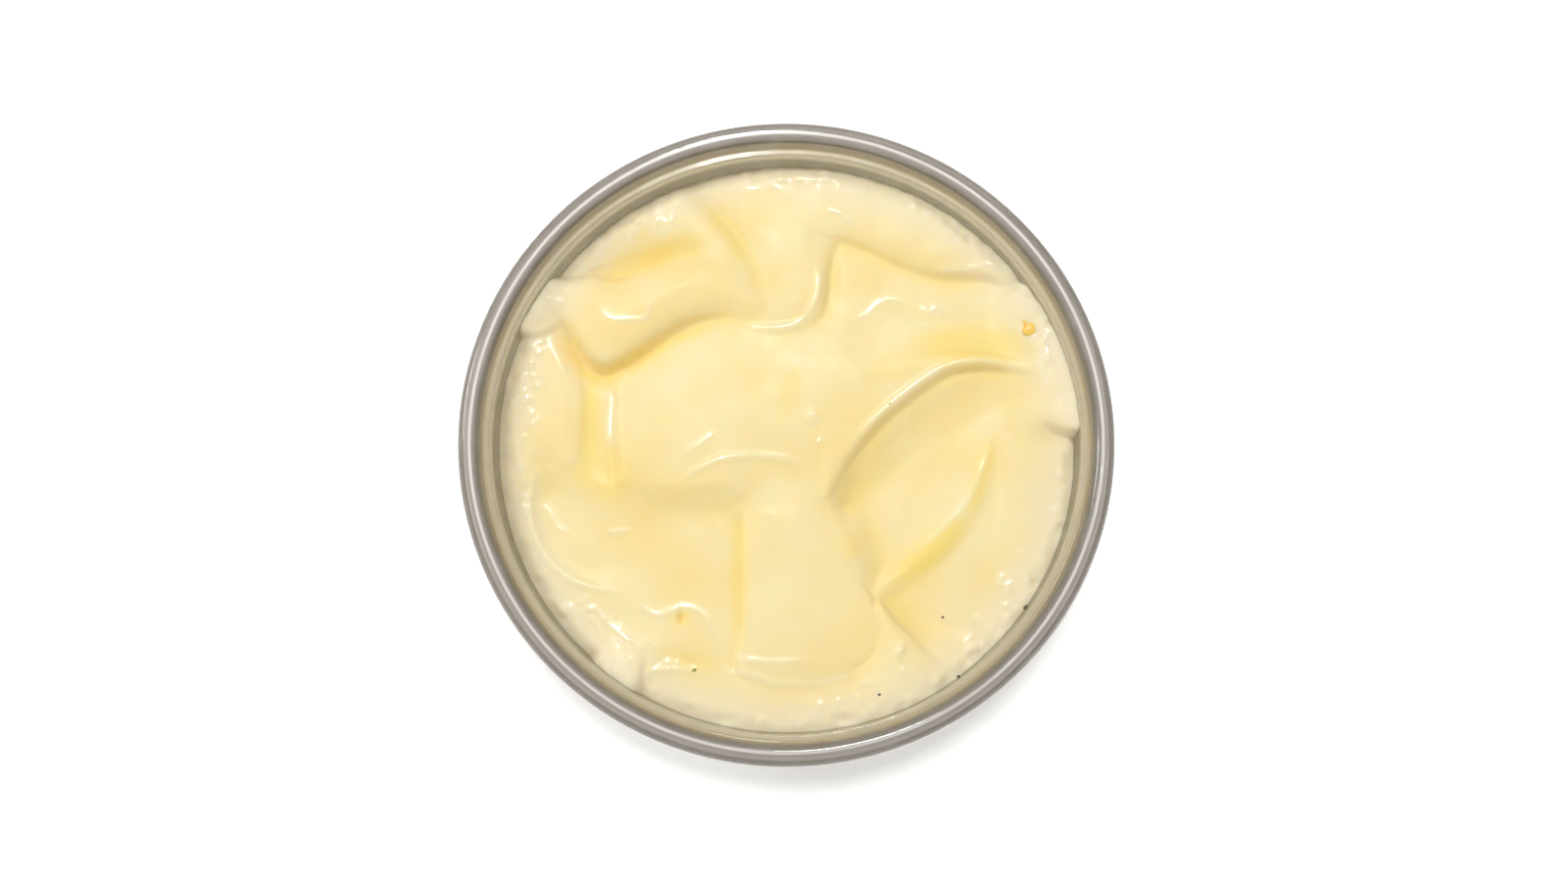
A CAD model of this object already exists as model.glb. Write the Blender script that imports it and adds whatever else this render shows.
import bpy
import math
import numpy as np
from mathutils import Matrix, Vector


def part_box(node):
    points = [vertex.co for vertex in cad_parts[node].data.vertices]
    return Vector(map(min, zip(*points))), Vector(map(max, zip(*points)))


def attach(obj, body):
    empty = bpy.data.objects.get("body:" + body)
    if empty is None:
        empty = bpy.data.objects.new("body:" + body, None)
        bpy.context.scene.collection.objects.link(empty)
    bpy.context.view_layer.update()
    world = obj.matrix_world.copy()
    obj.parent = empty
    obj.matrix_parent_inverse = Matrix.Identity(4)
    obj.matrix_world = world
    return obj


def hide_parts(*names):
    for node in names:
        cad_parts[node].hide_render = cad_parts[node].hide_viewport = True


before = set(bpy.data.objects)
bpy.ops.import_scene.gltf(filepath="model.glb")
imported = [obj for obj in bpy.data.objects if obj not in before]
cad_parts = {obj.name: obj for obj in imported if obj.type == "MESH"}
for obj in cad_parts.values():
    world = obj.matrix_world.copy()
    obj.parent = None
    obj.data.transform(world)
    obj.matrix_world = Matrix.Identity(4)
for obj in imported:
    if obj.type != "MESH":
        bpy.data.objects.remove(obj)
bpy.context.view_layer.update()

MM = 0.001                # shapes are worked out in millimetres and built in metres
SEED = 20
random = np.random.default_rng(SEED)

# ---------------------------------------------------------------- sizes (millimetres)

CUP_LOW, CUP_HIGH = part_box("cup")
RIM_RADIUS = round((CUP_HIGH.x - CUP_LOW.x) / 2 / MM, 1)
CUP_HEIGHT = round(CUP_HIGH.z / MM, 1)

WALL_THICK = 0.7
WALL_ACROSS = 0.72        # the leaning wall, measured level
LEDGE_DROP = 3.0          # from the rim's crest down to the lid's ledge
MOUTH_RADIUS = RIM_RADIUS - 3.6
SHOULDER_RADIUS = MOUTH_RADIUS - 2.0   # the wall's inner face, where it meets the ledge
HEEL_RADIUS = RIM_RADIUS - 13.0        # the wall's outer face, at the table
FOOT_RADIUS = RIM_RADIUS - 19.0
PANEL_RISE = 1.2          # the floor's middle stands this much above the foot
PANEL_SLOPE = 0.9
FILL_HEIGHT = CUP_HEIGHT - 6.7

INSIDE_HEEL = HEEL_RADIUS - WALL_ACROSS
WALL_LEAN = (SHOULDER_RADIUS - INSIDE_HEEL) / (CUP_HEIGHT - LEDGE_DROP)


def wall_radius(height):
    """Inside of the cup's wall at a height above the table."""
    return INSIDE_HEEL + WALL_LEAN * height


# ---------------------------------------------------------------- small helpers


def smooth(share):
    """Ease from 0 to 1."""
    share = np.clip(share, 0.0, 1.0)
    return share * share * (3.0 - 2.0 * share)


def new_piece(name, points, faces, material):
    """A smooth mesh in metres from points in millimetres, riding on the one body."""
    mesh = bpy.data.meshes.new(name)
    mesh.from_pydata([tuple(point) for point in np.asarray(points) * MM], [], faces)
    mesh.validate()
    mesh.polygons.foreach_set("use_smooth", [True] * len(mesh.polygons))
    piece = bpy.data.objects.new(name, mesh)
    bpy.context.scene.collection.objects.link(piece)
    mesh.materials.append(material)
    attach(piece, "root")
    return piece


def paint(piece, name, values, elsewhere):
    """Store a number for each of the piece's first points, and one for all the others, for the material."""
    numbers = np.full(len(piece.data.vertices), elsewhere, dtype=np.float32)
    numbers[:values.size] = values.reshape(-1)
    layer = piece.data.attributes.new(name, "FLOAT", "POINT")
    layer.data.foreach_set("value", numbers)


# ---------------------------------------------------------------- materials

WHITE = (1.0, 1.0, 1.0)
BLACK = (0.0, 0.0, 0.0)


def srgb(red, green, blue):
    """A colour as it shows on screen, 0 to 255, as the shader's linear numbers."""
    def linear(value):
        value = value / 255.0
        return value / 12.92 if value <= 0.04045 else ((value + 0.055) / 1.055) ** 2.4
    return linear(red), linear(green), linear(blue)


class Nodes:
    """Short names for building the nodes of a material or the world."""

    def __init__(self, owner):
        self.owner = owner
        owner.use_nodes = True
        self.tree = owner.node_tree
        self.tree.nodes.clear()

    def feed(self, socket, value):
        """Give a socket another node's output, or a plain number, vector or colour."""
        if isinstance(value, bpy.types.NodeSocket):
            self.tree.links.new(value, socket)
        elif socket.type == "RGBA":
            socket.default_value = (*value, 1.0)
        else:
            socket.default_value = value

    def node(self, kind, **settings):
        """A node with these inputs and properties."""
        made = self.tree.nodes.new(kind)
        for name, value in settings.items():
            if name in made.inputs:
                self.feed(made.inputs[name], value)
            else:
                setattr(made, name, value)
        return made

    def operate(self, kind, operation, values):
        """A node of arithmetic, its inputs in order."""
        made = self.node(kind, operation=operation)
        for socket, value in zip(made.inputs, values):
            self.feed(socket, value)
        return made

    def math(self, operation, *values):
        return self.operate("ShaderNodeMath", operation, values).outputs["Value"]

    def vector(self, operation, *values):
        return self.operate("ShaderNodeVectorMath", operation, values).outputs

    def place(self):
        """The place in the object's own metres."""
        return self.node("ShaderNodeTexCoord").outputs["Object"]

    def noise(self, scale, detail=3.0):
        """Noise in the object's own metres: a scale of 1000 has one lump per millimetre."""
        return self.node("ShaderNodeTexNoise", Vector=self.place(), Scale=scale, Detail=detail).outputs["Fac"]

    def ramp(self, source, *stops):
        """A colour for each share of the source."""
        made = self.node("ShaderNodeValToRGB", Fac=source)
        elements = made.color_ramp.elements
        while len(elements) < len(stops):
            elements.new(0.5)
        for element, (place, colour) in zip(elements, stops):
            element.position = place
            element.color = (*colour, 1.0)
        return made.outputs["Color"]

    def span(self, source, low, high, out_low, out_high):
        """Carry source from low..high to out_low..out_high."""
        made = self.node("ShaderNodeMapRange", Value=source)
        for name, value in zip(("From Min", "From Max", "To Min", "To Max"), (low, high, out_low, out_high)):
            self.feed(made.inputs[name], value)
        return made.outputs["Result"]

    def mix(self, share, first, second):
        """Mix two colours."""
        made = self.node("ShaderNodeMix", data_type="RGBA")
        for index, value in ((0, share), (6, first), (7, second)):
            self.feed(made.inputs[index], value)
        return made.outputs[2]

    def attribute(self, name):
        return self.node("ShaderNodeAttribute", attribute_name=name).outputs["Fac"]

    def bump(self, height, distance, strength):
        return self.node("ShaderNodeBump", Height=height, Distance=distance, Strength=strength)

    def principled(self, settings):
        return self.node("ShaderNodeBsdfPrincipled", **settings)

    def finish(self, shader, output="ShaderNodeOutputMaterial"):
        """Show this shader, and return what it belongs to."""
        self.node(output, Surface=shader.outputs[0])
        return self.owner


def sauce_material():
    """Thick garlic emulsion: creamy yellow, light goes a little way in, softly glossy."""
    made = Nodes(bpy.data.materials.new("garlic_sauce"))
    thin = made.attribute("thin")
    cream, butter, oily = srgb(254, 232, 180), srgb(254, 226, 160), srgb(255, 222, 122)
    against_plastic, drained = srgb(247, 234, 205), srgb(255, 240, 204)
    tone = made.mix(made.span(made.noise(70.0, detail=2.0), 0.35, 0.65, 0.0, 1.0), cream, butter)
    tone = made.mix(made.span(made.attribute("fold"), 0.05, 1.0, 0.0, 0.8), tone, oily)
    tone = made.mix(made.span(made.attribute("near_wall"), 0.0, 1.0, 0.0, 0.85), tone, against_plastic)
    tone = made.mix(made.span(thin, 0.1, 0.9, 0.0, 0.35), tone, drained)
    uneven = made.span(made.noise(260.0, detail=4.0), 0.3, 0.7, 0.26, 0.38)
    fine = made.bump(made.noise(900.0), 0.00004, 0.3)
    coarse = made.bump(made.noise(230.0, detail=2.0), 0.00010, 0.2)
    made.feed(coarse.inputs["Normal"], fine.outputs["Normal"])
    shader = made.principled({
        "Base Color": tone,
        "Roughness": made.math("MULTIPLY", uneven, made.span(thin, 0.0, 1.0, 1.0, 0.4)),
        "Specular IOR Level": 0.25,          # for programs that leave out the linked one
        "IOR": 1.46,
        "Subsurface Weight": 0.55,
        "Subsurface Radius": (1.0, 0.70, 0.32),
        "Subsurface Scale": 0.0016,
        "Normal": coarse.outputs["Normal"],
    })
    made.feed(shader.inputs["Specular IOR Level"], made.span(thin, 0.0, 1.0, 0.2, 1.0))
    return made.finish(shader)


# The cup's colours as they show from above, painted on: distance in from the rim's edge, and colour.
CUP_RINGS = [
    (8.5, (140, 131, 100)), (6.0, (140, 130, 98)),       # the wall, olive from the sauce's own light
    (5.6, (250, 236, 200)), (5.0, (255, 244, 212)),      # the lid's ledge
    (4.6, (214, 198, 156)), (4.2, (200, 184, 142)),
    (3.8, (154, 146, 130)), (3.1, (160, 152, 142)),      # the rise from the ledge to the rim's crest
    (2.6, (168, 160, 150)), (2.35, (252, 249, 244)),     # the crest, most of its highlight painted on
    (2.1, (252, 249, 244)), (1.85, (176, 168, 158)),
    (1.2, (188, 179, 168)), (0.7, (150, 142, 131)), (0.0, (186, 177, 166)),   # the rim's rolled edge
]
RINGS_ACROSS = 10.5       # the width that they are spread over


def cup_material():
    """Clear moulded plastic: its thick rim reads warm grey, its inner wall olive from the sauce's light."""
    made = Nodes(bpy.data.materials.new("clear_plastic"))
    place = made.place()
    level = made.vector("MULTIPLY", place, (1.0, 1.0, 0.0))["Vector"]
    radius = made.vector("LENGTH", level)["Value"]
    height = made.node("ShaderNodeSeparateXYZ", Vector=place).outputs["Z"]
    across = made.span(radius, (RIM_RADIUS - RINGS_ACROSS) * MM, RIM_RADIUS * MM, 0.0, 1.0)
    rings = made.ramp(across, *[(1.0 - inset / RINGS_ACROSS, srgb(*colour)) for inset, colour in CUP_RINGS])

    # the wall's outer face up to the ledge, and all that is low down, show plain and pale
    radius_at_foot = made.math("MULTIPLY_ADD", height, -WALL_LEAN, radius)
    outer_face = made.span(radius_at_foot, (INSIDE_HEEL + 0.3) * MM, (INSIDE_HEEL + 0.5) * MM, 0.0, 1.0)
    ledge = CUP_HEIGHT - LEDGE_DROP - WALL_THICK
    below_ledge = made.span(height, (ledge - 0.4) * MM, ledge * MM, 1.0, 0.0)
    low_down = made.span(height, (FILL_HEIGHT - 4.3) * MM, (FILL_HEIGHT - 2.3) * MM, 1.0, 0.0)
    plain = made.math("MAXIMUM", made.math("MULTIPLY", outer_face, below_ledge), low_down)
    tint = made.mix(plain, rings, srgb(242, 235, 214))

    haze = made.span(made.noise(180.0, detail=4.0), 0.3, 0.7, 0.0, 0.25)
    return made.finish(made.principled({
        "Base Color": made.mix(haze, tint, srgb(205, 198, 188)),
        "Roughness": made.span(made.noise(400.0, detail=4.0), 0.3, 0.7, 0.06, 0.13),
        "IOR": 1.49,
        "Transmission Weight": 0.5,
        "Normal": made.bump(made.noise(60.0, detail=2.0), 0.0002, 0.25).outputs["Normal"],
    }))


def bead_material(name, colour, roughness):
    """A small glossy bead of this colour, a little uneven."""
    made = Nodes(bpy.data.materials.new(name))
    darker = tuple(0.95 * part for part in colour)
    return made.finish(made.principled({
        "Base Color": made.mix(made.span(made.noise(1500.0), 0.3, 0.7, 0.0, 1.0), darker, colour),
        "Roughness": made.span(made.noise(2200.0), 0.3, 0.7, roughness, roughness + 0.1),
        "IOR": 1.46,
        "Normal": made.bump(made.noise(1800.0), 0.00003, 0.4).outputs["Normal"],
    }))


def floor_material():
    """White paper.  The camera and reflections see it a little brighter, so that it stays white to its far
    edge, and less close to the cup, which deepens its shadow there."""
    made = Nodes(bpy.data.materials.new("floor"))
    distance = made.vector("LENGTH", made.place())["Value"]
    near = made.span(distance, (RIM_RADIUS - 1.0) * MM, (RIM_RADIUS + 2.5) * MM, 0.16, 0.48)
    far = made.span(distance, 0.10, 0.70, 0.0, 0.15)
    path = made.node("ShaderNodeLightPath").outputs
    seen = made.math("MAXIMUM", path["Is Camera Ray"], path["Is Glossy Ray"])
    seen = made.math("MAXIMUM", seen, path["Is Transmission Ray"])
    lift = made.math("MULTIPLY", made.math("ADD", near, far), seen)
    both = made.node("ShaderNodeAddShader")
    made.feed(both.inputs[0], made.node("ShaderNodeBsdfDiffuse", Color=WHITE).outputs["BSDF"])
    made.feed(both.inputs[1], made.node("ShaderNodeEmission", Color=WHITE, Strength=lift).outputs["Emission"])
    return made.finish(both)


# ---------------------------------------------------------------- the sauce's folded top

# Each spoonful lies over those before it.  Its outline is a few points (east, north, width of the edge).
# A roll is laid on top: its shoulder is round, a wide edge fades out, and a sharp fold of depth "fold" runs
# just outside, dying away over "reach".  A scoop is hollowed out: its wall eases down to the floor over the
# edge's width, the more abruptly the nearer "steep" is to 1.  Inside, the spoonful stands at "level" above
# the fill height, leans by "slope" (rise per mm east, per mm north) and swells by "crown".
SPOONFULS = [
    {"name": "west flank", "kind": "roll", "level": 0.1, "slope": (-0.02, 0), "crown": 0.5,
     "fold": 0.3, "reach": 1.3, "outline": [
        (-53, 23, 5), (-45, 25, 4), (-39, 19, 4), (-37, 13.5, 4), (-36.5, 3, 4), (-38, -4.5, 4),
        (-43, -3.5, 4), (-47, -8.5, 4), (-50, -2, 6), (-53, 10.5, 6)]},
    {"name": "north tongue", "kind": "roll", "level": 0.3, "slope": (0, -0.03), "crown": 0.6,
     "fold": 0.15, "reach": 1.3, "outline": [
        (-20, 55.5, 6), (-6.5, 57.5, 6), (5.5, 56.5, 8), (18, 54, 10), (15.5, 44, 10), (9.5, 37.5, 4),
        (8, 33, 2.6), (7.5, 28.5, 2.6), (6.5, 24, 3), (3, 21, 5), (-3, 21, 6), (-8.5, 26.5, 6),
        (-12, 37.5, 6), (-17.5, 46.5, 6)]},
    {"name": "north west lobe", "kind": "roll", "level": 0.3, "slope": (0, 0), "crown": 0.8,
     "fold": 0.5, "reach": 1.6, "outline": [
        (-50, 23, 6), (-43, 35.5, 6), (-34.5, 44, 6), (-24.5, 50, 6), (-18.5, 50.5, 5), (-15.5, 46.5, 4),
        (-11, 41.5, 4), (-7.5, 36.5, 4), (-5, 30.5, 4), (-3.5, 25, 6), (-9.5, 25, 6), (-18.5, 32, 6),
        (-27, 35, 5), (-36, 31.5, 5)]},
    {"name": "north east mound", "kind": "roll", "level": 0.75, "slope": (0, -0.02), "crown": 0.4,
     "fold": 0.25, "reach": 1.6, "outline": [
        (-6, 55.5, 12), (17, 55.5, 6), (32.5, 46.5, 6), (44, 35.5, 6), (48.5, 28.5, 6), (42, 29, 4),
        (36, 30.5, 3), (28, 31, 3), (21.5, 33, 3.2), (15.5, 36, 3.2), (10, 38, 3), (5.5, 38.5, 3),
        (2, 37, 6), (-2.5, 43, 12)]},
    {"name": "plateau", "kind": "roll", "level": 0.8, "slope": (0.004, -0.015), "crown": 0.5,
     "fold": 0.35, "reach": 1.6, "outline": [
        (-33, 13.5, 4), (-33, 8.5, 2.6), (-33, 3, 2.4), (-33, -2, 2.8), (-32, -6.5, 4), (-28, -9, 5.5),
        (-24, -11, 5), (-18.5, -12, 4.5), (-12, -12, 3.8), (-8, -10.5, 4), (-4.5, -7.5, 7), (0, -5.5, 9),
        (4, -6.5, 8), (7, -10.5, 4), (11.5, -3.5, 2.4), (15, 1, 2.2), (19.5, 5.5, 2.2), (24.5, 9.5, 2.2),
        (29, 12.5, 2.2), (33.5, 13.5, 2.2), (38.5, 13.5, 2.2), (44, 12.5, 2.5), (50, 12, 4), (49, 15.5, 8),
        (28, 20.5, 10), (12, 21.5, 8), (-0.5, 22, 8), (-13, 24, 9), (-20, 22, 9), (-27, 18, 8)]},
    {"name": "west groove", "kind": "scoop", "level": -0.9, "slope": (0, 0), "crown": 0,
     "steep": 0.2, "outline": [
        (-36, 13.5, 2), (-37, 8.5, 1.6), (-37, 3, 1.6), (-37.5, -2, 2), (-36.5, -6, 3), (-31.5, -8.5, 3),
        (-29, -5.5, 3), (-29.5, 3, 2.8), (-29.5, 8.5, 2.8), (-30.5, 13.5, 2)]},
    {"name": "basin", "kind": "scoop", "level": -0.35, "slope": (-0.01, 0), "crown": 0,
     "steep": 0.2, "outline": [
        (8.5, 37.5, 3), (10.5, 36.5, 4), (16, 34.5, 4), (20.5, 33, 4), (27, 30.5, 4), (32, 30, 4),
        (37.5, 30, 5), (43, 27.5, 6), (45.5, 21.5, 8), (42, 15.5, 12), (33, 15.5, 14), (22.5, 13, 16),
        (13.5, 13, 14), (9, 19.5, 8), (8, 28.5, 3), (8, 34, 3)]},
    {"name": "east shelf", "kind": "roll", "level": 0.6, "slope": (0.05, 0), "crown": 0.2,
     "fold": 0.3, "reach": 1.3, "outline": [
        (41, 18.5, 8), (44.5, 28.5, 6), (52.5, 23, 6), (54.5, 10.5, 6), (52.5, 4.5, 2.6), (45.5, 5.5, 6),
        (43, 11.5, 8)]},
    {"name": "dollop", "kind": "roll", "level": 0.85, "slope": (-0.01, -0.02), "crown": 1.2,
     "fold": 1.7, "reach": 1.8, "outline": [
        (-50, 29, 3), (-44, 30.5, 4), (-38.5, 31, 4), (-35, 31.5, 3.4), (-31.5, 30.5, 3), (-27, 32, 3),
        (-22, 34, 3), (-17, 35.5, 3.4), (-13.5, 35.5, 6), (-7.5, 32, 8), (-3, 26, 8), (-6.5, 23, 6),
        (-12, 23.5, 4), (-18.5, 22, 3.4), (-24, 18.5, 3), (-28, 15.5, 2.8), (-32.5, 13.5, 2.8),
        (-36, 15, 2.8), (-38.5, 18.5, 3), (-40.5, 22.5, 4), (-43, 25, 4)]},
    {"name": "hollow", "kind": "scoop", "level": -2, "slope": (0.05, 0), "crown": 0,
     "steep": 0.6, "outline": [
        (7.5, -11, 5), (10, -6, 6), (13.5, -1.5, 7), (18, 3.5, 8), (22.5, 8, 9), (27.5, 11.5, 9),
        (33.5, 13.5, 8), (39.5, 13.5, 8), (46.5, 11.5, 8), (46.5, 7, 10), (43, -1, 14), (39.5, -7.5, 16),
        (35.5, -15, 16), (30.5, -21, 14), (24.5, -25, 9), (18.5, -27, 6), (14.5, -27, 5), (12, -20.5, 6),
        (10, -15, 6)]},
    {"name": "trough", "kind": "scoop", "level": -1.7, "slope": (0.04, 0.01), "crown": 0,
     "steep": 0.5, "outline": [
        (38, 2, 2), (35.5, -4, 2.4), (34, -9, 2.8), (31, -13.5, 3.4), (27, -18, 3.6), (22.5, -21.5, 3.6),
        (18, -24.5, 4), (16, -28, 4), (19.5, -32.5, 4), (24, -36.5, 5), (29.5, -40, 9), (36.5, -42, 10),
        (44, -33, 12), (45.5, -22, 12), (43, -11, 10), (40.5, -4, 5)]},
    {"name": "south east mound", "kind": "roll", "level": 0.3, "slope": (-0.01, 0.02), "crown": 0.7,
     "fold": 0.5, "reach": 1.6, "outline": [
        (16, -28.5, 2.4), (19.5, -32, 2.4), (24, -36.5, 2.8), (28, -41, 5), (30.5, -49, 6), (17, -53.5, 8),
        (11, -46.5, 10), (14.5, -37.5, 6)]},
    {"name": "south west stroke", "kind": "scoop", "level": -0.95, "slope": (0.012, -0.016), "crown": -0.1,
     "steep": 0.6, "outline": [
        (-41, -4, 6), (-44.5, -6, 4), (-46, -10, 3), (-45.5, -14, 2.8), (-44, -18.5, 2.8),
        (-40.5, -22.5, 2.8), (-36, -25.5, 3), (-30.5, -27, 5), (-24.5, -29.5, 10), (-18.5, -34.5, 12),
        (-10.5, -42, 12), (-5, -33, 12), (-5, -18.5, 12), (-6, -11, 8), (-11, -7.5, 8), (-20, -8, 8),
        (-28, -7.5, 9), (-35, -4.5, 9)]},
    {"name": "pad", "kind": "roll", "level": 0.05, "slope": (0, 0.012), "crown": 0.4,
     "fold": 0.45, "reach": 1.5, "outline": [
        (-8, -15, 3), (-7.5, -10.5, 7), (-4.5, -7.5, 10), (0, -6.5, 12), (4.5, -8, 9), (7.5, -12, 7),
        (10, -18.5, 6), (12.5, -24, 4), (15.5, -28, 2), (16.5, -33, 1.6), (15, -38, 1.8), (10.5, -41.5, 3),
        (1.5, -43.5, 4), (-6, -42.5, 4), (-9, -40.5, 3), (-8.5, -33, 2.6), (-8.5, -22, 2.6)]},
    {"name": "east smear", "kind": "roll", "level": 2, "slope": (0.15, 0), "crown": 0,
     "fold": 0.2, "reach": 1.2, "outline": [
        (50.5, 1.5, 1.6), (45, 5, 6), (44, 10, 8), (43, 16, 8), (41, 21, 8), (40, 25.5, 6),
        (42.5, 29.5, 1.6), (48, 34, 3), (57, 22, 4), (60, 11, 4), (57.5, 2, 2)]},
    {"name": "north west tip", "kind": "roll", "level": 1.7, "slope": (-0.12, 0), "crown": 0,
     "fold": 0.2, "reach": 1.2, "outline": [
        (-44.5, 32.5, 1.8), (-39, 29, 5), (-39.5, 23.5, 6), (-46, 19.5, 1.8), (-55, 23, 3), (-51, 34, 3)]},
    {"name": "south west smear", "kind": "roll", "level": 1, "slope": (0, -0.1), "crown": 0,
     "fold": 0.2, "reach": 1.2, "outline": [
        (-35.5, -40, 1.8), (-31, -36, 5), (-26, -38, 5), (-26, -45, 1.8), (-31, -51, 3), (-40, -46, 3)]},
]

# Thin raised lines left by the spoon's edge, or narrow dents where the height is below nothing: height, width
# and the points (east, north) that they run through.
RIDGES = [
    ("tongue's lip", 0.3, 0.55, [
        (5.5, 34.3), (6.2, 30.3), (5.3, 26.3), (3, 22.7), (-0.9, 21.5), (-5.9, 21.5)]),
    ("hollow's lip", 0.42, 0.6, [
        (9.9, -4.1), (14, 2.1), (19.1, 7.1), (24.2, 11.1), (28.5, 13.8), (33.2, 15), (38.6, 14.7),
        (43.9, 13.3), (46.7, 12.9)]),
    ("hollow's bank", 0.25, 1.5, [
        (12.6, -5.2), (16.3, 0.2), (21, 4.9), (25.9, 8.8), (29.8, 11.3), (33.6, 12.4), (38.4, 12.2),
        (43, 11.2)]),
    ("plateau's lip", 0.34, 0.6, [
        (-20.4, -8.3), (-17.6, -6.2), (-14.7, -4.4), (-10.8, -2.9), (-5, -2.4), (0.4, -3.1), (5.1, -5.3)]),
    ("plateau's scratch", 0.22, 0.5, [(-18.3, -2.4), (-15.6, -0.4), (-12.4, 1.8)]),
    ("stroke's lip", 0.42, 0.6, [
        (-42.1, -2.6), (-45.1, -5.8), (-46.1, -10.9), (-45.3, -15.9), (-42.8, -20.6), (-39.2, -24.1),
        (-34.8, -26), (-28.6, -27.3)]),
    ("stroke's scratch", 0.25, 0.5, [(-44.4, -10.1), (-42.1, -12.7), (-40.8, -15.2), (-38.5, -16.3)]),
    ("south lip", 0.34, 0.6, [
        (-12.6, -41.6), (-8.2, -41.4), (-3.7, -42.8), (2, -43.6), (8, -42.7), (12.6, -40.9),
        (15.4, -39.4)]),
    ("pad's lip", 0.2, 0.5, [(-10.5, -38.7), (-2.3, -39.6), (5.1, -39)]),
    ("south west lip", 0.28, 0.5, [(-25.7, -42.8), (-24, -41.2), (-20.4, -40.7), (-16, -40.9)]),
    ("west dash", 0.15, 0.45, [(-32.8, -16.3), (-30, -15.9), (-27.2, -15.6)]),
    ("centre dash", 0.2, 0.45, [(-7.3, 21.6), (-2.3, 21.1), (3.4, 21.6)]),
    ("mound's scratch", 0.22, 0.5, [(7.1, 43.3), (9.8, 42.8), (12.6, 39.9)]),
    ("mound's lip", 0.25, 0.5, [(27.2, 31.9), (32.3, 32.3), (37.3, 32.5)]),
    ("basin's curl", 0.12, 0.5, [
        (11.2, 23.1), (14.6, 23.8), (16.7, 26), (19.3, 26.9), (21.8, 26), (22.2, 23.8)]),
    ("basin's wiggle", 0.16, 0.5, [(24, 26.2), (26.1, 24.2), (27.3, 25.4), (29.5, 22.9)]),
    ("shelf's lip", 0.25, 0.5, [(46, 23.1), (47, 18.6), (46.7, 12.6), (47.6, 8.3)]),
    ("spot's lip", 0.2, 0.45, [(42.1, 21.8), (43.8, 19.6), (46.1, 18.9)]),
    ("window", 0.09, 0.5, [
        (-32.1, 25.6), (-33, 24), (-31.8, 22.7), (-28.6, 22.4), (-25.4, 22.7), (-24.7, 24.9),
        (-25.2, 27.1)]),
    ("tip's lip", 0.25, 0.5, [(-44.4, 26.5), (-42.1, 26.5), (-40.3, 25.4)]),
    ("crest", 0.15, 0.6, [
        (37.3, 1), (35.3, -4.4), (33.2, -9.1), (29.6, -13.6), (25.7, -17.4), (21.1, -20.8)]),
    ("drop", 0.36, 0.95, [(4.4, 6.1), (4.6, 4.5), (4.8, 2.7)]),
    ("droplet", 0.25, 0.6, [(5.5, 0.5), (5.9, -0.6)]),
    ("west streak", 0.22, 0.55, [(-43.1, 20.4), (-41.9, 17.3), (-40.5, 14.1), (-38.9, 11.2)]),
    ("south west streak", 0.22, 0.5, [(-48.6, 1), (-48.1, -2.9), (-46.7, -6.9)]),
    ("north west streak", 0.2, 0.5, [(-32.1, 34.5), (-35, 33.2), (-38.2, 31.4)]),
    ("north west mark", 0.2, 0.45, [(-23.4, 42.6), (-23.8, 40.1), (-23.4, 37.9)]),
    ("north west twin", 0.2, 0.45, [(-22, 42.2), (-22.2, 39.7), (-22, 37.5)]),
    ("north east gleam", 0.3, 0.6, [(22.2, 44.9), (25, 44), (27.5, 42.4)]),
    ("north rim", 0.2, 0.6, [(-5.5, 49.4), (-0.5, 50), (5.9, 49.6), (13.7, 48.9)]),
    ("east gleam", 0.3, 0.6, [(38.3, -23.2), (38.3, -26.4)]),
    ("south east bump", 0.5, 1.3, [(19.3, -37.1), (20.9, -38)]),
    ("bubble ridge", 0.16, 0.6, [
        (-27.9, -27.8), (-23.3, -31.1), (-18.3, -29.7), (-14.4, -31.5), (-11.5, -37.2)]),
    ("low ridge", 0.18, 0.6, [(-35, -27.8), (-32.5, -31.8), (-28.9, -34.7), (-24, -38)]),
    ("dollop's crease", -0.6, 1.3, [
        (-40.1, 23.1), (-38.9, 18.7), (-36.4, 14.8), (-32.5, 12.8), (-27.5, 14.6), (-23.6, 17.8),
        (-17.9, 21.3), (-11.5, 23.1)]),
    ("dollop's north crease", -0.3, 1.3, [
        (-33.9, 31.4), (-30.7, 32.8), (-26.3, 34.3), (-20.9, 36.1), (-15.1, 37.9)]),
    ("north crease", -0.55, 1.4, [
        (-17.6, 47.3), (-14, 44.4), (-9.9, 40.1), (-6.6, 35), (-4.6, 29.8), (-4.1, 26.3)]),
    ("mound's foot", 0.08, 1.6, [
        (3.4, 37.5), (8.3, 37.5), (13.7, 35.7), (19.9, 33), (27, 30.8), (35, 30.5)]),
    ("hollow's foot", -0.35, 1.6, [(14, -4), (11.2, -8.5), (10.5, -13.9), (12.2, -18.5)]),
    ("west facet", 0.22, 1.1, [(-31.8, 11.9), (-31.9, 6.8), (-31.6, 1), (-30.7, -2.2)]),
    ("pit", -0.8, 0.9, [(-19.2, -31.6), (-18.1, -31.6)]),
    ("south fold", -0.25, 1.2, [(-23.3, -38), (-19.2, -38.7), (-14.4, -40.5)]),
]

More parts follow.
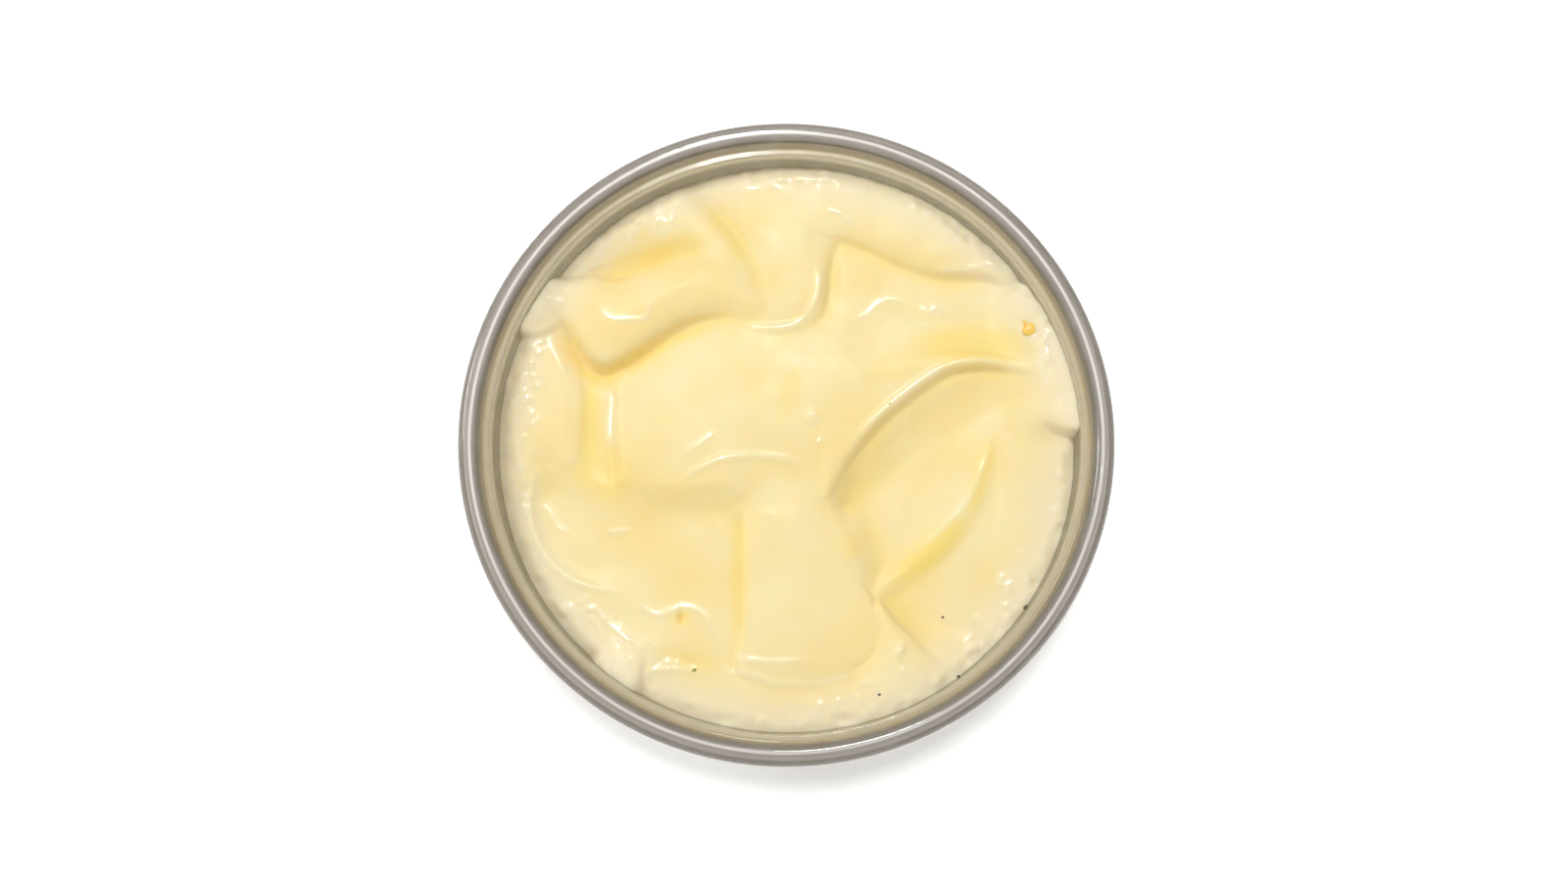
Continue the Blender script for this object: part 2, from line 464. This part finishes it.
# Where oil has gathered and the sauce is a deeper yellow: east, north, half length east, half length north,
# turn in degrees and strength.
GOLD = [
    ("west crease", -35.3, 3.2, 1.8, 10.4, 0, 0.9),
    ("west pool", -32.1, -6.2, 4.6, 4.7, 0, 0.5),
    ("west pool's tail", -36, -5.5, 2.5, 2.2, 0, 0.6),
    ("north of the dollop", -25.4, 35.4, 10, 1.6, 16, 0.8),
    ("north west patch", -27.5, 39.3, 5, 2.5, 25, 0.5),
    ("under the dollop", -26.8, 16, 9.8, 1.4, 28, 0.9),
    ("dollop's toe", -34.3, 13.1, 3.6, 1.3, 0, 0.8),
    ("trough", 26.3, -19.2, 8.2, 2.6, 42, 1),
    ("trough's head", 35, -6.2, 1.3, 7.2, -17, 0.95),
    ("basin", 34.5, 18.2, 11.5, 3.8, 0, 0.85),
    ("basin's shore", 19.9, 14.4, 7.1, 2.9, 25, 0.45),
    ("pad's crease", -8.4, -25.3, 1.4, 11.9, 0, 0.8),
    ("middle", 0.5, 8.3, 1.8, 5.8, -15, 0.4),
    ("pit", -18.6, -31.6, 1.4, 1.3, 0, 1),
    ("north crease", -9.8, 38.3, 1.6, 11.2, 33, 0.6),
    ("dollop's tail", -17.6, 20.7, 4.6, 1.3, 22, 0.7),
    ("hollow's north bank", 14.9, -4.4, 2.1, 7.2, -25, 0.4),
    ("plateau's south bank", -15.6, -10, 8.9, 1.6, -4, 0.25),
    ("south", -16.2, -39.4, 4.6, 1.8, -20, 0.35),
    ("oil drop", 44.4, 22.2, 2.1, 1.6, 20, 1),
    ("hollow's west bank", 11.5, -18.5, 2.5, 2.5, 0, 0.35),
]

# Where the skin is broken into small flecks: middle east, middle north, half length, half width, turn in
# degrees and how many.
FLECKS = [
    (-46.5, 8.0, 13.0, 2.2, 88.0, 34), (-44.0, 19.0, 6.0, 2.5, 60.0, 16),
    (-27.5, 40.0, 9.0, 3.0, 40.0, 26), (-34.0, -32.0, 10.0, 3.0, -48.0, 30),
    (-20.0, -40.0, 8.0, 2.6, -20.0, 18), (-46.0, -12.0, 8.0, 1.8, -75.0, 14),
    (4.0, 48.5, 14.0, 1.5, -3.0, 22), (36.0, 35.0, 8.0, 1.5, -45.0, 12),
    (14.0, -45.0, 10.0, 2.2, 18.0, 16), (38.0, -28.0, 9.0, 2.2, 55.0, 14),
    (46.0, 17.0, 6.0, 1.5, 95.0, 12),
]
FLECK_WIDTH = 0.38


def flecks():
    """Short thin ridges strewn in these places, a little bent."""
    ridges = []
    for middle_east, middle_north, half_length, half_width, turn, count in FLECKS:
        turn = math.radians(turn)
        for _ in range(count):
            along, across = random.normal(0.0, 0.5, 2) * (half_length, half_width)
            east = middle_east + along * math.cos(turn) - across * math.sin(turn)
            north = middle_north + along * math.sin(turn) + across * math.cos(turn)
            length = 0.25 + 1.6 * random.random() ** 3
            way = turn + random.normal(0.0, 0.5)
            bend = random.normal(0.0, 0.2) * length
            step_east, step_north = length * math.cos(way), length * math.sin(way)
            path = [(east - step_east, north - step_north),
                    (east - bend * math.sin(way), north + bend * math.cos(way)),
                    (east + step_east, north + step_north)]
            ridges.append(("fleck", 0.10 + 0.10 * random.random(), FLECK_WIDTH, path))
    return ridges


UNTOUCHED = -0.5          # the sauce between the spoonfuls, against the fill height
STEPS_PER_SPAN = 6        # straight steps between two points of a curve
CRISP = 2.5               # a roll's edge up to this width keeps its round shoulder and its fold
FADED = 6.0               # at this width it fades out with neither

FIRST_ON_WALL = "east smear"       # from here on the spoonfuls are smeared on the wall itself
EDGE_START, EDGE_DROP = 49.0, 1.8  # before them the sauce rounds down to the wall: from this radius, this far

# unevenness, each as the size of its lumps and how much they rise or sink
UNDER_SPOONFULS = (14.0, 0.12)
OVER_SPOONFULS = (6.0, 0.05)
IN_THE_SKIN = (2.2, 0.018)
RAGGED_EDGE = (1.6, 0.16)          # only where the sauce meets the wall, from this radius:
RAGGED_START, RAGGED_FULL = 48.0, 51.0

GRID_PITCH = 0.3          # spacing of the heights that are worked out
TENSION = 0.28            # the sauce's skin rounds off whatever is finer than this
GLOSSY_WIDTH = 1.4        # ridges narrower than this have drained of sauce and shine
CREASE_WIDTH = 1.6        # oil gathers in creases up to about this wide,
CREASE_DEPTH = 0.5        # the more of it the nearer they are to this deep


def between(before, start, end, after, share):
    """A smooth curve from start to end, at this share of the way (Catmull-Rom)."""
    return 0.5 * (2.0 * start + (end - before) * share
                  + (2.0 * before - 5.0 * start + 4.0 * end - after) * share ** 2
                  + (3.0 * start - before - 3.0 * end + after) * share ** 3)


def closed_curve(points):
    """A smooth closed outline through the points, as rows of east, north, width."""
    points = np.array(points, dtype=float)
    before, start, end, after = (np.roll(points, shift, axis=0) for shift in (1, 0, -1, -2))
    rows = []
    for share in np.arange(STEPS_PER_SPAN) / STEPS_PER_SPAN:
        row = between(before, start, end, after, share)
        row[:, 2] = start[:, 2] + (end[:, 2] - start[:, 2]) * share
        rows.append(row)
    return np.stack(rows, axis=1).reshape(-1, 3)


def open_curve(points):
    """A smooth open line through the points, as rows of east, north."""
    points = np.array(points, dtype=float)
    points = np.concatenate([[2.0 * points[0] - points[1]], points, [2.0 * points[-1] - points[-2]]])
    rows = []
    for before, start, end, after in zip(points, points[1:], points[2:], points[3:]):
        for share in np.arange(STEPS_PER_SPAN) / STEPS_PER_SPAN:
            rows.append(between(before, start, end, after, share))
    rows.append(points[-2])
    return np.array(rows)


def edge_distance(corners, east, north):
    """How far each place lies inside the outline (negative outside), and the width of the nearest edge."""
    nearest = np.full(east.shape, np.inf)
    width = np.ones(east.shape)
    inside = np.zeros(east.shape, dtype=bool)
    for start, end in zip(corners, np.roll(corners, -1, axis=0)):
        run, rise = end[0] - start[0], end[1] - start[1]
        share = ((east - start[0]) * run + (north - start[1]) * rise) / (run * run + rise * rise)
        share = np.clip(share, 0.0, 1.0)
        distance = np.hypot(east - start[0] - share * run, north - start[1] - share * rise)
        closer = distance < nearest
        nearest = np.where(closer, distance, nearest)
        width = np.where(closer, start[2] + (end[2] - start[2]) * share, width)
        if start[1] != end[1]:
            crosses = (start[1] > north) != (end[1] > north)
            inside ^= crosses & (east < start[0] + run * (north - start[1]) / rise)
    return np.where(inside, nearest, -nearest), width


def lay(spoonful, east, north, below):
    """Lay one spoonful over the heights below it."""
    corners = closed_curve(spoonful["outline"])
    middle = np.mean(np.array(spoonful["outline"], dtype=float), axis=0)
    inset, width = edge_distance(corners, east, north)
    across = max(inset.max(), 1.0)
    slope_east, slope_north = spoonful["slope"]
    top = spoonful["level"] + slope_east * (east - middle[0]) + slope_north * (north - middle[1])
    top = top + spoonful["crown"] * (1.0 - (1.0 - np.clip(inset / across, 0.0, 1.0)) ** 2)
    share = np.clip(inset / width, 0.0, 1.0)
    if spoonful["kind"] == "roll":
        crisp = 1.0 - smooth((width - CRISP) / (FADED - CRISP))
        shoulder = np.sqrt(1.0 - (1.0 - share) ** 2)
        cover = crisp * shoulder + (1.0 - crisp) * smooth((inset + width) / (2.0 * width))
        fold = spoonful["fold"] * crisp * np.exp(np.minimum(inset, 0.0) / spoonful["reach"])
        return (below - fold * (1.0 - shoulder)) * (1.0 - cover) + top * cover
    cover = spoonful["steep"] * (1.0 - (1.0 - share) ** 2) + (1.0 - spoonful["steep"]) * smooth(share)
    return below * (1.0 - cover) + top * cover


def raised_by(ridge, east, north):
    """How much one thin ridge raises each place.  It fades out at both ends."""
    name, height, width, path = ridge
    line = open_curve(path)
    lengths = np.hypot(*np.diff(line, axis=0).T)
    along = np.concatenate([[0.0], np.cumsum(lengths)])
    margin = 3.0 * width
    near = ((east > line[:, 0].min() - margin) & (east < line[:, 0].max() + margin)
            & (north > line[:, 1].min() - margin) & (north < line[:, 1].max() + margin))
    x, y = east[near], north[near]
    nearest = np.full(x.shape, np.inf)
    strength = np.zeros(x.shape)
    for start, end, begun, length in zip(line, line[1:], along, lengths):
        run, rise = end - start
        share = np.clip(((x - start[0]) * run + (y - start[1]) * rise) / length ** 2, 0.0, 1.0)
        distance = np.hypot(x - start[0] - share * run, y - start[1] - share * rise)
        closer = distance < nearest
        nearest = np.where(closer, distance, nearest)
        place = begun + share * length
        fade = smooth(np.minimum(place, along[-1] - place) / (0.25 * along[-1]))
        strength = np.where(closer, fade, strength)
    raised = np.zeros(east.shape)
    raised[near] = height * strength * np.exp(-(nearest / width) ** 2)
    return raised


def drift(count, lump, height):
    """A seeded field of gentle lumps of this size and height on the grid."""
    coarse = max(int(count * GRID_PITCH / lump) + 3, 4)
    field = random.normal(0.0, height, (coarse, coarse))
    places = np.linspace(1.0, coarse - 2.001, count)
    whole = places.astype(int)
    part = smooth(places - whole)
    along = field[whole] * (1.0 - part)[:, None] + field[whole + 1] * part[:, None]
    return along[:, whole] * (1.0 - part) + along[:, whole + 1] * part


def blur(field, width):
    """Soften the grid's numbers by a bell curve of this width."""
    steps = max(int(3.0 * width / GRID_PITCH), 1)
    bell = np.exp(-0.5 * (np.arange(-steps, steps + 1) * GRID_PITCH / width) ** 2)
    bell /= bell.sum()
    for axis in (0, 1):
        first, last = np.take(field, [0] * steps, axis), np.take(field, [-1] * steps, axis)
        padded = np.concatenate([first, field, last], axis)
        length = field.shape[axis]
        field = sum(weight * np.take(padded, range(start, start + length), axis)
                    for start, weight in enumerate(bell))
    return field


def edge_drop(east, north):
    """How far the sauce's edge rounds down to the wall, most on the north west side."""
    radius = np.hypot(east, north)
    north_west = (north - east) / (math.sqrt(2.0) * np.maximum(radius, 1.0))
    near_wall = smooth((radius - EDGE_START) / (SHOULDER_RADIUS - EDGE_START))
    return EDGE_DROP * (0.55 + 0.45 * north_west) * near_wall


class Relief:
    """The sauce's top as numbers on a square grid, read at any place: heights above the fill height, how far
    each place lies in an oily crease, and how far on a thin glossy ridge."""

    def __init__(self):
        reach = SHOULDER_RADIUS + 3.0
        self.count = int(2.0 * reach / GRID_PITCH) + 1
        self.start = -reach
        lines = self.start + GRID_PITCH * np.arange(self.count)
        east, north = np.meshgrid(lines, lines, indexing="ij")
        self.shape_heights(east, north)
        self.find_creases(east, north)

    def shape_heights(self, east, north):
        heights = np.full(east.shape, UNTOUCHED)
        heights += drift(self.count, *UNDER_SPOONFULS)
        for spoonful in SPOONFULS:
            if spoonful["name"] == FIRST_ON_WALL:
                heights -= edge_drop(east, north)
            heights = lay(spoonful, east, north, heights)
        heights += drift(self.count, *OVER_SPOONFULS) + drift(self.count, *IN_THE_SKIN)
        thin = np.zeros(east.shape)
        for ridge in RIDGES + flecks():
            name, height, width, path = ridge
            raised = raised_by(ridge, east, north)
            heights += raised
            if width < GLOSSY_WIDTH:
                thin = np.maximum(thin, raised / abs(height))
        at_wall = smooth((np.hypot(east, north) - RAGGED_START) / (RAGGED_FULL - RAGGED_START))
        self.heights = blur(heights, TENSION) + drift(self.count, *RAGGED_EDGE) * at_wall
        self.thin = blur(thin, TENSION)

    def find_creases(self, east, north):
        sunk = blur(self.heights, CREASE_WIDTH) - blur(self.heights, 0.5)
        folds = np.clip(sunk / CREASE_DEPTH, 0.0, 0.6)
        for name, middle_east, middle_north, half_east, half_north, turn, strength in GOLD:
            cos, sin = math.cos(math.radians(turn)), math.sin(math.radians(turn))
            across = ((east - middle_east) * cos + (north - middle_north) * sin) / half_east
            up = ((north - middle_north) * cos - (east - middle_east) * sin) / half_north
            # full strength in the middle, none half as far out again as the patch's own size
            folds = np.maximum(folds, strength * smooth(1.6 - 1.1 * np.hypot(across, up)))
        self.folds = blur(folds, 0.6)

    def read(self, field, east, north):
        """The field's value at each place, between its four nearest points."""
        column = np.clip((east - self.start) / GRID_PITCH, 0, self.count - 2)
        row = np.clip((north - self.start) / GRID_PITCH, 0, self.count - 2)
        i, j = column.astype(int), row.astype(int)
        u, v = column - i, row - j
        return ((field[i, j] * (1 - u) + field[i + 1, j] * u) * (1 - v)
                + (field[i, j + 1] * (1 - u) + field[i + 1, j + 1] * u) * v)


# ---------------------------------------------------------------- the sauce's mesh

SAUCE_CELLS = 300
SIDE_HEIGHTS = (31.0, 24.0, 16.0, 8.0, 3.0, 1.6)   # of the rings of points down the wall
WALL_BITE = 0.12          # the sauce reaches this far into the wall, so that no air shows between them


def disc_net(cells):
    """A net of near-square cells over the unit disc (Shirley and Chiu's concentric map)."""
    line = np.linspace(-1.0, 1.0, cells + 1)
    across, up = np.meshgrid(line, line, indexing="ij")
    flat = np.abs(across) >= np.abs(up)
    radius = np.where(flat, across, up)
    safe = np.where(radius == 0.0, 1.0, radius)
    turn = np.where(flat, 0.25 * math.pi * up / safe, 0.5 * math.pi - 0.25 * math.pi * across / safe)
    return radius * np.cos(turn), radius * np.sin(turn)


def sauce_side():
    """The sauce below its top as radius and height, down the wall, round the heel and in along the floor."""
    floor, panel = WALL_THICK, PANEL_RISE + WALL_THICK
    wall = [(wall_radius(height) + WALL_BITE, height) for height in SIDE_HEIGHTS]
    heel = [(wall_radius(floor) - 0.6, floor + 0.4), (wall_radius(floor) - 1.8, floor)]
    bottom = [(FOOT_RADIUS, floor), (FOOT_RADIUS - PANEL_SLOPE, panel), (FOOT_RADIUS * 0.5, panel)]
    return wall + heel + bottom


def make_sauce(relief, material):
    """The sauce as one closed mesh: folded top, a side against the wall and a bottom on the floor panel."""
    unit_east, unit_north = disc_net(SAUCE_CELLS)
    fill_radius = wall_radius(FILL_HEIGHT) + WALL_BITE
    near_edge = smooth((np.hypot(unit_east, unit_north) - 0.9) / 0.1)
    east, north = unit_east * fill_radius, unit_north * fill_radius
    for _ in range(2):    # the wall leans, so the edge's radius follows its height
        height = FILL_HEIGHT + relief.read(relief.heights, east, north)
        stretch = 1.0 + (wall_radius(height) + WALL_BITE - fill_radius) / fill_radius * near_edge
        east, north = unit_east * fill_radius * stretch, unit_north * fill_radius * stretch
    points = [np.stack([east, north, height], axis=-1).reshape(-1, 3)]
    count = SAUCE_CELLS + 1
    index = np.arange(count * count).reshape(count, count)
    top = np.stack([index[:-1, :-1], index[1:, :-1], index[1:, 1:], index[:-1, 1:]], axis=-1)
    faces = top.reshape(-1, 4).tolist()

    rim = np.concatenate([index[:-1, 0], index[-1, :-1], index[:0:-1, -1], index[0, :0:-1]])
    directions = np.arctan2(north.reshape(-1)[rim], east.reshape(-1)[rim])
    rings = [rim]
    total = count * count
    for radius, level in sauce_side():
        points.append(np.stack([radius * np.cos(directions), radius * np.sin(directions),
                                np.full(len(rim), level)], axis=-1))
        rings.append(np.arange(total, total + len(rim)))
        total += len(rim)
    points.append([[0.0, 0.0, level]])
    for upper, lower in zip(rings, rings[1:]):
        faces += np.stack([upper, lower, np.roll(lower, -1), np.roll(upper, -1)], axis=-1).tolist()
    faces += [(start, total, end) for start, end in zip(rings[-1].tolist(), np.roll(rings[-1], -1).tolist())]

    piece = new_piece("sauce_body", np.concatenate(points), faces, material)
    paint(piece, "fold", relief.read(relief.folds, east, north), 0.0)
    paint(piece, "thin", relief.read(relief.thin, east, north), 0.0)
    gap = wall_radius(height) - np.hypot(east, north)
    paint(piece, "near_wall", 1.0 - smooth(gap / 10.0), 1.0)
    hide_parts("sauce")


# ---------------------------------------------------------------- specks in the sauce's skin

BEAD_SIDES, BEAD_RINGS = 12, 5

# Name, colour, roughness and each bead: east, north, half length, half width, turn and rise.
SPECKS = [
    ("garlic_crumbs", (253, 208, 98), 0.25, [       # a drop of toasted oil by the east wall and two crumbs
        (44.3, 20.9, 1.7, 1.2, 0.5, 0.28), (43.2, 22.2, 0.45, 0.35, 1.2, 0.15),
        (-18.7, -31.5, 0.45, 0.35, 0.3, 0.12)]),
    ("herb_specks", (158, 162, 74), 0.4, [
        (-16.3, -40.9, 0.42, 0.3, 0.4, 0.18), (18.6, 7.0, 0.2, 0.15, 1.0, 0.1)]),
    ("pepper_specks", (104, 90, 66), 0.4, [
        (27.9, -31.3, 0.26, 0.2, 0.8, 0.16), (42.6, -29.6, 0.55, 0.3, 0.9, 0.2),
        (30.4, -42.0, 0.3, 0.2, 0.5, 0.15), (16.4, -45.4, 0.34, 0.2, 0.2, 0.15)]),
]


def make_beads(name, relief, beads, material):
    """Small beads half sunk in the sauce, all in one mesh."""
    points, faces = [], []
    sides = [(side, (side + 1) % BEAD_SIDES) for side in range(BEAD_SIDES)]
    for east, north, half_length, half_width, turn, rise in beads:
        height = FILL_HEIGHT + float(relief.read(relief.heights, np.array([east]), np.array([north]))[0])
        first = len(points)
        for level in np.linspace(-0.5 * math.pi, 0.5 * math.pi, BEAD_RINGS + 2)[1:-1]:
            for side, following in sides:
                angle = 2.0 * math.pi * side / BEAD_SIDES
                along = half_length * math.cos(level) * math.cos(angle)
                across = half_width * math.cos(level) * math.sin(angle)
                points.append((east + along * math.cos(turn) - across * math.sin(turn),
                               north + along * math.sin(turn) + across * math.cos(turn),
                               height + rise * math.sin(level)))
        last = len(points) - BEAD_SIDES
        bottom, top = len(points), len(points) + 1
        points += [(east, north, height - rise), (east, north, height + rise)]
        for lower in range(first, last, BEAD_SIDES):
            upper = lower + BEAD_SIDES
            faces += [(lower + side, lower + following, upper + following, upper + side)
                      for side, following in sides]
        for side, following in sides:
            faces += [(first + following, first + side, bottom), (last + side, last + following, top)]
    new_piece(name, points, faces, material)


# ---------------------------------------------------------------- stage, light and camera (metres)

CAMERA_ELEVATION = math.radians(78.2)
CAMERA_DISTANCE = 0.480
LENS = 62.12
AIM = (-0.0004, -0.0010)             # the picture's middle, east and north of the rim's centre

SKY_STRENGTH = 0.53
RING_STRENGTH = 1.8
RING_LOW, RING_HIGH = 0.80, 0.845    # the soft ring of light: sines of its lower and upper elevation
RING_SOFT = 0.02
RING_LEAN = 0.5                      # how much brighter the ring is on its north west side


def make_stage():
    """A wide plain floor."""
    bpy.ops.mesh.primitive_plane_add(size=6.0)
    floor = bpy.context.object
    floor.name = "floor"
    floor.data.materials.append(floor_material())


def area_light(name, place, size, power):
    """A round lamp that shines on the sauce."""
    data = bpy.data.lights.new(name, "AREA")
    data.shape = "DISK"
    data.size = size
    data.energy = power
    lamp = bpy.data.objects.new(name, data)
    lamp.location = place
    bpy.context.scene.collection.objects.link(lamp)
    sauce_top = Vector((0.0, 0.0, 0.04))
    lamp.rotation_euler = (sauce_top - lamp.location).to_track_quat("-Z", "Y").to_euler()


def make_light():
    """An even studio dome with a brighter ring high up, strongest in the north west, and two small lamps."""
    made = Nodes(bpy.data.worlds.new("studio"))
    way = made.node("ShaderNodeTexCoord").outputs["Generated"]
    height = made.node("ShaderNodeSeparateXYZ", Vector=way).outputs["Z"]
    ring = made.ramp(height, (RING_LOW - RING_SOFT, BLACK), (RING_LOW, WHITE),
                     (RING_HIGH, WHITE), (RING_HIGH + RING_SOFT, BLACK))
    lean = made.vector("DOT_PRODUCT", way, (-0.7 * RING_LEAN, 0.7 * RING_LEAN, 0.0))["Value"]
    ring = made.math("MULTIPLY", ring, made.math("ADD", lean, 1.0))
    strength = made.math("MULTIPLY_ADD", ring, RING_STRENGTH, SKY_STRENGTH)
    dome = made.node("ShaderNodeBackground", Color=WHITE, Strength=strength)
    bpy.context.scene.world = made.finish(dome, "ShaderNodeOutputWorld")
    area_light("overhead", (-0.04, 0.40, 0.93), 0.10, 2.0)
    area_light("window", (-0.50, 0.20, 0.42), 0.16, 0.8)


def make_camera():
    """A view from the south, almost straight down."""
    data = bpy.data.cameras.new("camera")
    data.lens = LENS
    data.sensor_width = 36.0
    data.clip_start = 0.01
    camera = bpy.data.objects.new("camera", data)
    bpy.context.scene.collection.objects.link(camera)
    target = Vector((*AIM, CUP_HEIGHT * MM))
    back = Vector((0.0, -math.cos(CAMERA_ELEVATION), math.sin(CAMERA_ELEVATION)))
    camera.location = target + back * CAMERA_DISTANCE
    camera.rotation_mode = "QUATERNION"
    camera.rotation_quaternion = (-back).to_track_quat("-Z", "Y")
    bpy.context.scene.camera = camera


bpy.context.scene.view_settings.view_transform = "Standard"
make_stage()
make_light()
make_camera()

relief = Relief()
make_sauce(relief, sauce_material())
for name, colour, roughness, beads in SPECKS:
    make_beads(name, relief, beads, bead_material(name, srgb(*colour), roughness))
cup_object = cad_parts["cup"]
cup_object.data.materials.clear()
cup_object.data.materials.append(cup_material())
